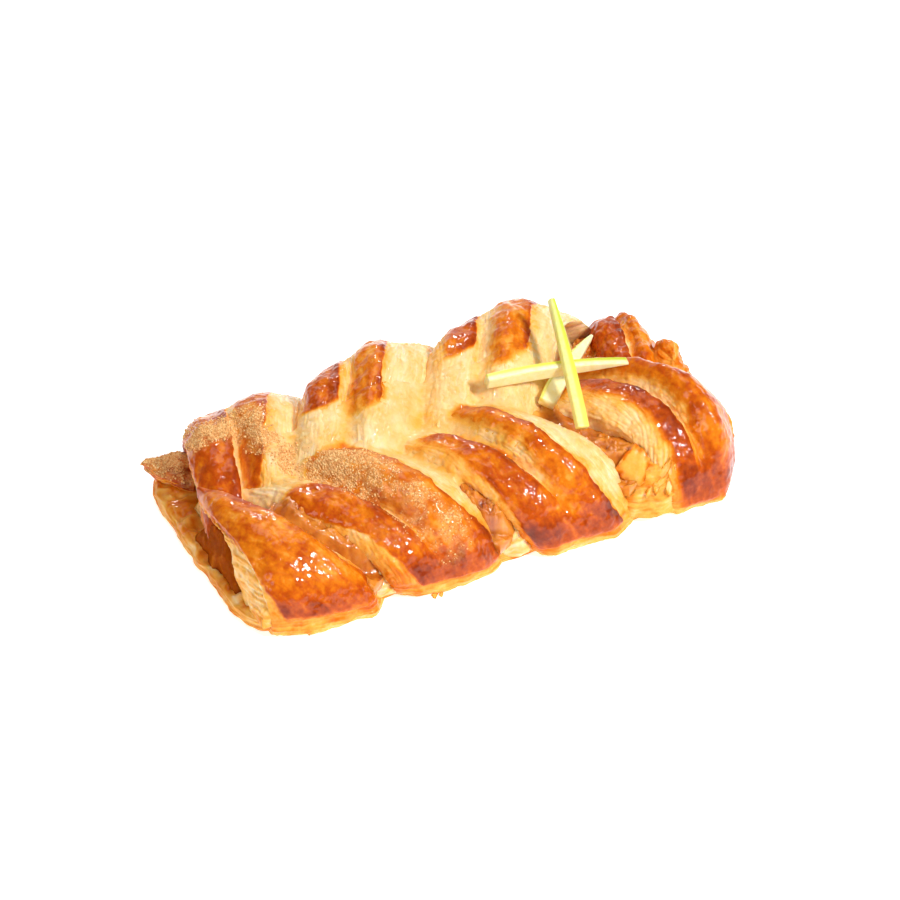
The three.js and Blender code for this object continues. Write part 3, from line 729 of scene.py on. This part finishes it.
def stretched_webs():
    """The blanket's top points and tones, the tones browner in the filled creases as painted shade. Its height is a
    slightly smoothed map of the dough or, in the pit, a much smoother and lower one, whichever is higher, plus
    wrinkles, and let down outside the middle of the loaf."""
    spots = [MAP_LOW[axis] + MAP_STEP * (np.arange(MAP_CELLS[axis]) + 0.5) for axis in (0, 1)]
    keep = np.ix_(*[np.abs(spots[axis] - WEB_MIDDLE[axis]) < WEB_HALF[axis] for axis in (0, 1)])
    x, y = np.meshgrid(*spots, indexing="ij")
    pit = 1 - smooth(np.min([np.hypot(x - at_x, y - at_y) for at_x, at_y in PIT_SPOTS], 0), *PIT_EDGE)
    crease_level = settle(height_map, CREASE_PASSES) - 0.2 - 0.5 * smooth(-y, 8, 14)
    filled = np.maximum(crease_level, settle(height_map, PIT_PASSES) - PIT_DEPTH - NO_PIT * (1 - pit))
    # Painted shade: the tone is made browner where the blanket fills a crease.
    crease_shade = smooth(filled - height_map, 0.2, 1.6)
    tone = np.minimum(settle(bake_map, 5), 0.3 + 0.4 * settle(skin_map, 3)) + 0.1 * settle(crease_shade, 3)
    top, tone, x, y = np.stack([x, y, filled], -1)[keep], tone[keep], x[keep], y[keep]
    wide = np.abs(y - 1) - 12 * smooth(x, 34, 42) * (y > 1)
    wide = np.where(y < 1, wide - 13, wide)
    inside = (1 - smooth(wide, 9, 15)) * (1 - smooth(np.abs(x - WEB_MIDDLE[0]), 46, 53))
    wrinkle = 1 - 2.0 * np.abs(crumple(top / [2.6, 2.2, 9.0], 91)) + 0.5 * mottle(top, 1.3, 92, 2)
    top[..., 2] = np.maximum(top[..., 2] + 0.35 * wrinkle - WEB_LOWERED * (1 - inside), WEB_LOWEST)
    return top, np.clip(tone + 0.05 * wrinkle, 0, 1)


web_top, web_tone = stretched_webs()
web_marks = {"bake": web_tone, "skin": 0 * web_tone, "dust": cinnamon_on(web_top)}
web_marks = {key: folded(value, value) for key, value in web_marks.items()}
ring_piece("stretched_webs", blanket(web_top, WEB_THICKNESS), web_marks, "dough", ["pastry"], True)

# %% [markdown]
# The same kind of blanket, with a level of its own and small round bubbles, makes the pools of jelly that welled up
# between the bands. Most of each pool lies hidden in the dough, which trims its outline.

# %% The pools of jelly
POOL_THICKNESS, POOL_REACH, POOL_SINK = 3.0, 1.3, 5.0
BUBBLE_COUNT, BUBBLE_RADIUS, BUBBLE_SPREAD = 34, (0.4, 0.9), 0.8
POOLS = {
    "pool_far": dict(middle=(37.0, -18.5), turn=-60, half=(9.5, 8.0), level=16.7, tilt=0.0, seed=301),
    "pool_near": dict(middle=(-42.0, -20.0), turn=-50, half=(12.0, 6.5), level=18.6, tilt=-0.345, seed=311),
    "pool_middle": dict(middle=(-2.6, -26.0), turn=-60, half=(6.8, 4.4), level=16.9, tilt=-0.42, seed=321),
    "pool_back": dict(middle=(51.5, 22.0), turn=0, half=(5.0, 5.5), level=11.0, tilt=0.0, seed=331),
}


def pool(middle, turn, half, level, tilt, seed, cells=(150, 110)):
    """A blanket of jelly over an oval: a tilted plane with soft lumps and half-round bubbles that sinks past the
    oval's edge. tilt is the rise in mm for each mm along the oval."""
    u, v = np.meshgrid(*[np.linspace(-POOL_REACH, POOL_REACH, count) for count in cells], indexing="ij")
    long, wide = turned(*np.eye(2), turn)
    x, y = [middle[k] + u * half[0] * long[k] + v * half[1] * wide[k] for k in (0, 1)]
    top = np.stack([x, y, level + tilt * u * half[0]], -1)
    lumps = 0.7 * mottle(top, 4.5, seed, 2) + 0.3 * mottle(top, 1.8, seed + 3, 2)
    draw = np.random.default_rng(seed)
    spots = draw.uniform(-BUBBLE_SPREAD, BUBBLE_SPREAD, (2, BUBBLE_COUNT))
    for spot_u, spot_v, radius in zip(*spots, draw.uniform(*BUBBLE_RADIUS, BUBBLE_COUNT)):
        far = np.hypot((u - spot_u) * half[0], (v - spot_v) * half[1])
        top[..., 2] += np.sqrt(np.maximum(0, radius**2 - far**2))
    top[..., 2] += lumps - POOL_SINK * smooth(np.hypot(u, v), 0.85, POOL_REACH)
    return top, 0.12 + 0.7 * lumps


pools = []
for name, size in POOLS.items():
    top, chunk = pool(**size)
    marks = {"chunk": folded(chunk, chunk)}
    pools.append(ring_piece(name, blanket(top, POOL_THICKNESS), marks, "filling", ["apple_filling"], True))

# %% [markdown]
# At both open ends the jelly wells out under the bands and stands on the sheet as a dark front, darker amber jelly
# with painted shade for the shadow under the bands. It is one profile, leaning back as it climbs, carried across the
# end and let down to nothing at both sides.

# %% Jelly at the open ends
FRONTS = {
    # which end, middle and half-width across, where the front stands, lean and height
    "jelly_mouth": dict(end=-1, middle=-8.0, half=14.0, stand=68.8, lean=2.4, height=10.5, seed=341),
    "jelly_far": dict(end=1, middle=-4.0, half=26.0, stand=59.0, lean=5.0, height=13.0, seed=351),
}
FRONT_THICKNESS, FRONT_SUNK = 2.5, 0.5


def front_rings(end, middle, half, stand, lean, height, seed, stations=170, around=60):
    """Across the end, a parabola gives the height. The front leans back by a power of the climb, and the back is
    the front set inwards."""
    across = np.linspace(1, -1, stations)[:, None]
    climb = np.linspace(0, 1, around)[None, :]
    full = 1.02 - across**2
    y = middle + half * across + 0 * climb
    z = SHEET_THICKNESS - FRONT_SUNK + height * full * climb
    front = np.stack([end * (stand - lean * climb**2.2) + 0 * y, y, z], -1)
    lumps = 0.6 * mottle(front, 6.0, seed, 2) + 0.25 * mottle(front, 2.2, seed + 3, 2)
    front[..., 0] += end * lumps * full
    # Painted shade: the low value turns the front a dark amber, for the shadow under the bands.
    chunk = -0.55 + 0.3 * lumps
    return folded(front, front - [end * FRONT_THICKNESS, 0, 0]), {"chunk": folded(chunk, chunk)}


for name, size in FRONTS.items():
    pools.append(ring_piece(name, *front_rings(**size), "filling", ["apple_filling"], size["end"] < 0))

# %% [markdown]
# The matchsticks were cut with a knife from a slice of raw fruit: one flat side, one side that follows the curve of
# the fruit and still wears its green peel. Each is a rounded rectangle carried along a line, whose height follows
# a Bezier curve. The peel is a mark on the points that lie far out in one direction across the stick.

# %% The matchsticks
STICKS = {
    "apple_stick_low": dict(
        start=(26.7, -6.6, 21.0), stop=(46.6, 11.0, 24.0), roll=-75, heights=(4.2, 4.1, 0.9), width=2.6,
        peel=(-0.35, 1.0)),
    "apple_stick_long": dict(
        start=(10.7, 0.1, 28.5), stop=(49.1, -3.3, 25.5), roll=12, heights=(3.5, 3.9, 0.8), width=2.4,
        peel=(0.35, 1.0)),
    "apple_stick_leaning": dict(
        start=(26.9, -19.0, 23.0), stop=(33.6, 10.6, 41.0), roll=105, heights=(3.2, 3.0, 1.5), width=2.1,
        peel=(1.0, 0.25), blush=0.55),
}


def stick_rings(stick, seed, stations=140, side=14, corner=0.3):
    """Rounded rectangles along a line: the width is that of the slice, the height a Bezier curve through three
    heights. The marks are the peel and the share of the way along."""
    first, middle, last = stick["heights"]
    share = np.linspace(0, 1, stations)[:, None]
    bulge = 2 * middle - (first + last) / 2
    height = (1 - share) ** 2 * first + 2 * share * (1 - share) * bulge + share**2 * last
    tick, ones = np.linspace(-1, 1, side, endpoint=False), np.ones(side)
    edges = [(tick, -ones), (ones, tick), (-tick, ones), (-ones, -tick)]
    square = np.concatenate([np.stack(edge, 1) for edge in edges])
    wide, tall = square[None, :, 0] * stick["width"] / 2, (square[None, :, 1] + 1) / 2 * height
    room_wide = stick["width"] / 2 - np.abs(wide)
    room_tall = np.minimum(tall, height - tall)
    round_off = np.maximum(0, corner - np.maximum(room_wide, room_tall)) * 0.5
    wide = wide - np.sign(wide) * round_off
    tall = tall + np.where(tall < height / 2, round_off, -round_off)
    start, stop = np.array(stick["start"]), np.array(stick["stop"])
    long = unit(stop - start)
    aside = unit(np.cross([0, 0, 1], long))
    aside, above = turned(aside, np.cross(long, aside), stick["roll"])
    rings = lerp((start, stop), share[..., None]) + wide[..., None] * aside + tall[..., None] * above
    toward = unit(np.array(stick["peel"]))
    peel = np.maximum(smooth(square @ toward, 0.8, 1.05), stick.get("blush", 0))[None, :] + 0 * share
    return pushed(rings, 0.05 * mottle(rings, 2.5, seed, 2)), {"peel": peel, "reach": share + 0 * wide}


stick_pieces = [
    ring_piece("fruit_" + name, *stick_rings(stick, 80 + number), "raw_fruit", [name])
    for number, (name, stick) in enumerate(STICKS.items())
]

# %% [markdown]
# Loose cinnamon is a powder of tiny chips. Every chip is the same eight-sided crystal, stretched and turned at
# random and set on a point of the crust where the cinnamon is strong. All the chips are one mesh, built from
# arrays in one go. A coarse map of the highest points keeps chips off places that another band covers.

# %% Loose cinnamon grains
GRAIN_COUNT, GRAIN_SIZE, COVER_DEPTH = 12000, (0.14, 0.34), 0.4
CRYSTAL = np.array([(1, 0, 0), (-1, 0, 0), (0, 1, 0), (0, -1, 0), (0, 0, 1), (0, 0, -1)], float)
CRYSTAL_FACES = np.array([(0, 2, 4), (2, 1, 4), (1, 3, 4), (3, 0, 4), (2, 0, 5), (1, 2, 5), (3, 1, 5), (0, 3, 5)])


def scatter(middles, sizes, draw):
    """Copies of the crystal at middles in mm: each stretched by its sizes and turned by a random frame, which is
    two random directions made square to each other and their cross product."""
    one = unit(draw.normal(size=(len(middles), 3)))
    two = unit(np.cross(one, draw.normal(size=(len(middles), 3))))
    turn = np.stack([one, two, np.cross(one, two)], 1)
    points = (CRYSTAL[None] * sizes[:, None, :]) @ turn + middles[:, None, :]
    faces = CRYSTAL_FACES[None] + len(CRYSTAL) * np.arange(len(middles))[:, None, None]
    return points.reshape(-1, 3), faces.reshape(-1, 3)


crust = np.concatenate([dough_points, ear.reshape(-1, 3), web_top.reshape(-1, 3)])
strength = np.concatenate([all_bands("dust"), ear_marks["dust"].ravel(), 4 * cinnamon_on(web_top).ravel()])
cover = highest(crust, strength)[0]
strength = np.where(crust[:, 2] > cover[cell_of(crust)] - COVER_DEPTH, strength, 0) ** 1.6
draw = np.random.default_rng(21)
chosen = draw.choice(len(crust), GRAIN_COUNT, p=strength / strength.sum())
grain_sizes = draw.uniform(*GRAIN_SIZE, (GRAIN_COUNT, 1)) * draw.uniform(0.5, 1.4, (GRAIN_COUNT, 3))
grain_middles = crust[chosen] + draw.normal(0, 0.12, (GRAIN_COUNT, 3)) * [1, 1, 0.4]
points, faces = scatter(grain_middles, grain_sizes, draw)
tone = np.repeat(draw.uniform(0, 1, GRAIN_COUNT), len(CRYSTAL))
grains = make_piece("cinnamon_grains", points, [faces], {"tone": tone}, "dough")

# %% [markdown]
# Puff pastry sheds flakes: thin bits of one or two layers, bent and torn. A big one stands in the notch between the
# last two front feet with thin strands beside it, and small ones lie as crumbs at the foot. Each is a small
# blanket with a ragged outline, bent like a parabola and laid into the plane that faces a given direction.

# %% Flakes and crumbs
FLAKES = [
    # middle, length and width, facing, turn in degrees, bend, bake
    ((37.7, -30.3, 15.0), (4.8, 3.7), (-0.35, -0.75, 0.6), 62, -0.8, 0.33),
    ((43.8, -33.6, 12.4), (4.6, 1.0), (-0.3, -0.8, 0.5), 58, 1.2, 0.28),
    ((45.8, -34.6, 11.2), (4.0, 0.7), (-0.3, -0.8, 0.5), 74, 1.0, 0.2),
    ((41.6, -34.6, 10.4), (3.6, 0.8), (-0.2, -0.9, 0.4), 30, 0.9, 0.3),
    ((-22.0, -37.9, 0.4), (1.0, 0.7), (0.2, -0.5, 0.85), 15, 0.2, 0.34),
    ((-20.4, -38.3, 0.3), (0.7, 0.5), (-0.2, -0.3, 0.9), 70, 0.1, 0.3),
    ((-56.0, -37.2, 0.4), (0.9, 0.6), (0.1, -0.3, 0.9), 10, 0.2, 0.32),
]
FLAKE_THICKNESS = 0.4


def flake(middle, size, facing, turn, bend, bake, seed, rows=22, columns=16):
    """A bent, ragged sheet: rows and columns of a slanted grid, each pulled in by noise, in the plane across
    facing. Returns its rings and their tone."""
    facing = unit(np.array(facing))
    level = unit(np.cross([0, 0, 1], facing))
    long, wide = turned(level, np.cross(facing, level), turn)
    u, v = np.meshgrid(np.linspace(-1, 1, rows), np.linspace(-1, 1, columns), indexing="ij")
    spot = np.stack([u * 1.7, v * 1.7, 0 * u], -1)
    ragged = 1 - 0.1 * (u * v) ** 2 + 0.2 * mottle(spot, 1.6, seed, 2)
    lift = bend * u**2 + 0.35 * min(size) / 3 * mottle(spot, 1.4, seed + 5, 2)
    along, across = (u + 0.22 * v) * ragged * size[0], v * (1 - 0.25 * u) * ragged * size[1]
    top = np.array(middle) + (along[..., None] * long + across[..., None] * wide) + lift[..., None] * facing
    edge = smooth(np.maximum(np.abs(u), np.abs(v)), 0.6, 1.0)
    tone = np.clip(bake + 0.25 * edge * mottle(spot, 0.7, seed + 8, 2) + 0.16 * edge, 0, 1)
    return folded(top, top - FLAKE_THICKNESS * facing), folded(tone, tone)


flakes = [flake(*sizes, 400 + 20 * number) for number, sizes in enumerate(FLAKES)]
points = np.stack([with_middles(rings) for rings, _ in flakes])
points[..., 2] = np.maximum(points[..., 2], LOWEST)
tone = np.concatenate([with_middles(tone[..., None])[:, 0] for _, tone in flakes])
steps = points.shape[1] * np.arange(len(flakes))[:, None, None]
faces = [(part + steps).reshape(-1, part.shape[1]) for part in ring_faces(*flakes[0][0].shape[:2], True)]
flake_marks = {"bake": tone, "skin": 0.3 * (tone > 0.4), "dust": 0 * tone}
make_piece("flakes", points.reshape(-1, 3), faces, flake_marks, "dough")

# %% [markdown]
# Materials. A small class keeps one material and adds shader nodes to it: it sets their sockets and links what it
# is given, so a material reads as a short list. Tones are written as they look on screen, from 0 to 255, and
# turned into the linear light that Blender reckons with.

# %% Helpers for materials
def tone_of(red, green, blue):
    """A screen tone as a linear colour with full alpha."""
    share = np.array([red, green, blue]) / 255.0
    linear = np.where(share <= 0.04045, share / 12.92, ((share + 0.055) / 1.055) ** 2.4)
    return (*linear.tolist(), 1.0)


def put(socket, value):
    """Links a socket to another, or sets its value."""
    if isinstance(value, bpy.types.NodeSocket):
        socket.id_data.links.new(value, socket)
    else:
        socket.default_value = value


class Finish:
    """A material with a Principled shader, some of whose sockets are set by name."""

    def __init__(self, name, sockets):
        self.material = bpy.data.materials.new(name)
        self.material.use_nodes = True
        self.shader = self.material.node_tree.nodes["Principled BSDF"]
        for key, value in sockets.items():
            self.shader.inputs[key].default_value = value

    def show(self, key, value):
        """Gives a socket of the shader a value or a link."""
        put(self.shader.inputs[key], value)

    def add(self, kind, sockets, **settings):
        """A new shader node of a kind, with settings, and sockets given by name or number."""
        made = self.material.node_tree.nodes.new("ShaderNode" + kind)
        for key, value in settings.items():
            setattr(made, key, value)
        for key, value in sockets.items():
            put(made.inputs[key], value)
        return made

    def mark(self, name):
        """The value of a mark stored on the points."""
        return self.add("Attribute", {}, attribute_name=name).outputs["Fac"]

    def reckon(self, operation, *values):
        """A Math node."""
        return self.add("Math", dict(enumerate(values)), operation=operation).outputs[0]

    def speckle(self, size, detail):
        """Noise with bumps of a size in mm, on object coordinates."""
        place = self.add("TexCoord", {}).outputs["Object"]
        sockets = {"Vector": place, "Scale": 1.0 / (size * MM), "Detail": detail, "Roughness": 0.55}
        return self.add("TexNoise", sockets).outputs["Fac"]

    def ramp(self, value, stops):
        """A colour ramp through (place, tone) stops."""
        made = self.add("ValToRGB", {"Fac": value})
        elements = made.color_ramp.elements
        while len(elements) < len(stops):
            elements.new(0.5)
        for element, (place, tone) in zip(elements, stops):
            element.position = place
            element.color = tone_of(*tone)
        return made.outputs["Color"]

    def blend(self, share, one, two):
        """A Mix node between two colours."""
        return self.add("Mix", {"Factor": share, 6: one, 7: two}, data_type="RGBA").outputs[2]

    def bump(self, height, strength, depth):
        """Small bumps on the shader, at most a depth in metres."""
        made = self.add("Bump", {"Height": height, "Strength": strength, "Distance": depth})
        self.show("Normal", made.outputs["Normal"])


# %% [markdown]
# Baked dough goes from cream through gold and orange to a deep red brown as it bakes, so one colour ramp driven by
# the bake mark does most of the work. A clear coat on the skin is the egg wash and the sugar glaze, and it is
# what gives the small hard glints. Where cinnamon lies, the coat goes and the colour turns to dry tan.

# %% The dough
def dough_material():
    """Cream to red brown by the bake mark, glazed by the skin mark, dusty by the dust mark."""
    finish = Finish("baked_dough", {
        "Coat Roughness": 0.07, "Specular IOR Level": 0.08, "Coat IOR": 1.4, "Subsurface Weight": 0.3,
        "Subsurface Radius": (1.0, 0.4, 0.1), "Subsurface Scale": 0.0016})
    bake, skin, dust = finish.mark("bake"), finish.mark("skin"), finish.mark("dust")
    patches = finish.reckon("SUBTRACT", finish.speckle(2.6, 5.0), 0.5)
    grit = finish.reckon("SUBTRACT", finish.speckle(0.7, 3.0), 0.5)
    sway = finish.reckon("MULTIPLY_ADD", skin, 0.3, 0.12)
    level = finish.reckon("MULTIPLY_ADD", patches, sway, bake)
    level = finish.reckon("MULTIPLY_ADD", grit, 0.1, level)
    crust_tone = finish.ramp(level, [
        (0.0, (253, 234, 204)), (0.16, (251, 212, 152)), (0.32, (244, 176, 74)), (0.48, (224, 122, 10)),
        (0.64, (190, 78, 0)), (0.82, (140, 45, 0)), (1.0, (84, 24, 2))])
    powder = finish.speckle(0.5, 2.0)
    cover = finish.reckon("MULTIPLY", dust, finish.reckon("MULTIPLY_ADD", powder, 1.4, 0.1))
    cover = finish.reckon("MINIMUM", cover, 0.9)
    powder_tone = finish.ramp(powder, [(0.3, (224, 148, 78)), (0.7, (250, 196, 120))])
    finish.show("Base Color", finish.blend(cover, crust_tone, powder_tone))
    bare = finish.reckon("SUBTRACT", 1.0, cover)
    finish.show("Roughness", finish.reckon("MULTIPLY_ADD", cover, 0.4, 0.42))
    glaze = finish.reckon("MULTIPLY_ADD", skin, 0.35, 0.4)
    finish.show("Coat Weight", finish.reckon("MULTIPLY", bare, glaze))
    wrinkle = finish.reckon("MULTIPLY_ADD", finish.speckle(0.45, 3.0), 0.5, finish.speckle(1.5, 4.0))
    finish.bump(wrinkle, 0.4, 0.0004)
    return finish.material


dough = dough_material()
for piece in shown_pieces():
    if piece.get("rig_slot") == "dough" and piece is not grains:
        piece.data.materials.append(dough)

# %% [markdown]
# Jelly is amber and lets light in, so it has subsurface light and a wet coat. The fronts at the open ends stand
# steep in the shade, where a wet coat would only mirror the white table, so theirs is a dull version. Fruit flesh
# is pale and moist, and its peel is a thin green layer at the curved side.

# %% Jelly, fruit and cinnamon
def jelly_material(name, wet, shine):
    """Amber jelly, paler on the chunks and dark where the mark holds painted shade, under a coat that can be wet or
    dull.
    """
    finish = Finish(name, {
        "Roughness": 0.25, "Coat Weight": wet, "Specular IOR Level": shine, "Coat Roughness": 0.04, "Coat IOR": 1.4,
        "Subsurface Weight": 0.35, "Subsurface Radius": (1.0, 0.5, 0.15), "Subsurface Scale": 0.003})
    cloud = finish.reckon("MULTIPLY", finish.speckle(3.0, 4.0), 0.6)
    level = finish.reckon("MULTIPLY_ADD", finish.mark("chunk"), 0.5, cloud)
    finish.show("Base Color", finish.ramp(level, [
        (0.05, (150, 66, 8)), (0.2, (186, 96, 20)), (0.5, (218, 134, 40)), (0.85, (238, 178, 84))]))
    finish.bump(finish.speckle(1.6, 3.0), 0.4, 0.0005)
    return finish.material


def fruit_material():
    """Cream flesh with faint streaks, and peel that is greener towards the tip."""
    finish = Finish("raw_apple", {
        "Roughness": 0.38, "Coat Weight": 0.25, "Coat Roughness": 0.15, "Subsurface Weight": 0.3,
        "Subsurface Radius": (1.0, 0.9, 0.4), "Subsurface Scale": 0.0015})
    peel, reach = finish.mark("peel"), finish.mark("reach")
    flesh = finish.ramp(finish.speckle(1.2, 4.0), [(0.3, (248, 238, 164)), (0.7, (255, 250, 204))])
    green = finish.ramp(finish.reckon("MULTIPLY_ADD", finish.speckle(2.5, 3.0), 0.3, reach), [
        (0.2, (234, 227, 98)), (0.6, (224, 221, 72)), (1.0, (200, 211, 56))])
    finish.show("Base Color", finish.blend(peel, flesh, green))
    finish.bump(finish.speckle(0.5, 3.0), 0.2, 0.0002)
    return finish.material


def cinnamon_material():
    """Dry tan powder, each chip in its own tone."""
    finish = Finish("cinnamon", {"Roughness": 0.9})
    finish.show("Base Color", finish.ramp(finish.mark("tone"), [
        (0.0, (218, 146, 82)), (0.5, (244, 186, 114)), (1.0, (255, 220, 156))]))
    return finish.material


jelly, deep_jelly = jelly_material("apple_jelly", 1.0, 0.5), jelly_material("deep_jelly", 0.04, 0.0)
for piece in [filling_piece, *pools]:
    piece.data.materials.append(deep_jelly if piece.name in FRONTS else jelly)
fruit = fruit_material()
for piece in stick_pieces:
    piece.data.materials.append(fruit)
grains.data.materials.append(cinnamon_material())
print("materials", [m.name for m in bpy.data.materials if m.users])

# %% [markdown]
# The picture is high key: a white table that shows hardly a shadow, and white all round. A bright, narrow key box
# at the front right draws the long glints and a small sparkle box above draws the short ones. A window behind
# lights the far rims, and wide fill, top and backdrop boxes keep the shadows soft. The camera looks down at the
# near front corner from far away, so its lens is long. Its place comes from how many pixels a millimetre takes up.

# %% Table and light
TABLE_HALF, TABLE_DROP = 3.0, 0.0001
corners = [(-1, -1), (1, -1), (1, 1), (-1, 1)]
table_mesh = bpy.data.meshes.new("table")
table_mesh.from_pydata([(TABLE_HALF * x, TABLE_HALF * y, -TABLE_DROP) for x, y in corners], [], [(0, 1, 2, 3)])
table = bpy.data.objects.new("table", table_mesh)
bpy.context.scene.collection.objects.link(table)
table_mesh.materials.append(Finish("white_table", {
    "Base Color": (0.92, 0.92, 0.92, 1), "Roughness": 0.7, "Emission Color": (1, 1, 1, 1),
    "Emission Strength": 0.7}).material)

world = bpy.data.worlds.new("white_room")
world.use_nodes = True
world.node_tree.nodes["Background"].inputs["Color"].default_value = (1, 1, 1, 1)
world.node_tree.nodes["Background"].inputs["Strength"].default_value = 0.1
bpy.context.scene.world = world


def soft_box(name, place, size, watts):
    """A rectangular area light at a place in metres that faces the loaf."""
    light = bpy.data.lights.new(name, "AREA")
    light.shape, light.size, light.size_y, light.energy = "RECTANGLE", *size, watts
    lamp = bpy.data.objects.new(name, light)
    lamp.location = place
    lamp.rotation_euler = (-Vector(place)).to_track_quat("-Z", "Y").to_euler()
    bpy.context.scene.collection.objects.link(lamp)


soft_box("key", (0.42, -0.72, 0.82), (0.09, 0.32), 12)
soft_box("sparkle", (-0.1, -0.55, 1.25), (0.07, 0.07), 2.2)
soft_box("window", (0.4, 0.85, 0.75), (0.16, 0.16), 3.5)
soft_box("fill", (-0.95, -0.45, 0.55), (0.5, 0.5), 3.2)
soft_box("top", (0.1, 0.4, 1.3), (0.8, 0.5), 3)
soft_box("backdrop", (0.2, 1.3, 0.45), (1.6, 0.6), 3)
print(len(bpy.data.lights), "lights")

# %% Camera
AZIMUTH, ELEVATION = math.radians(-26.0), math.radians(38.5)
DISTANCE, PIXELS_PER_MM, FRAME_PIXELS = 1.6, 3.95, 900
AIM, AIM_PIXEL = Vector((0, 0, 0.014)), (447.65, 442.8)
level = math.cos(ELEVATION)
back = Vector((math.sin(AZIMUTH) * level, -math.cos(AZIMUTH) * level, math.sin(ELEVATION)))
right = Vector((math.cos(AZIMUTH), math.sin(AZIMUTH), 0))
eye = bpy.data.cameras.new("eye")
eye.sensor_width = 36.0
eye.lens = eye.sensor_width * PIXELS_PER_MM / MM * DISTANCE / FRAME_PIXELS
eye.shift_x = (FRAME_PIXELS / 2 - AIM_PIXEL[0]) / FRAME_PIXELS
eye.shift_y = (AIM_PIXEL[1] - FRAME_PIXELS / 2) / FRAME_PIXELS
eye.clip_end = 50
camera = bpy.data.objects.new("eye", eye)
turned = Matrix((right, back.cross(right), back)).transposed().to_4x4()
camera.matrix_world = Matrix.Translation(AIM + back * DISTANCE) @ turned
bpy.context.scene.collection.objects.link(camera)
bpy.context.scene.camera = camera
bpy.context.scene.view_settings.view_transform = "Standard"
print("lens", round(eye.lens, 1), "mm")
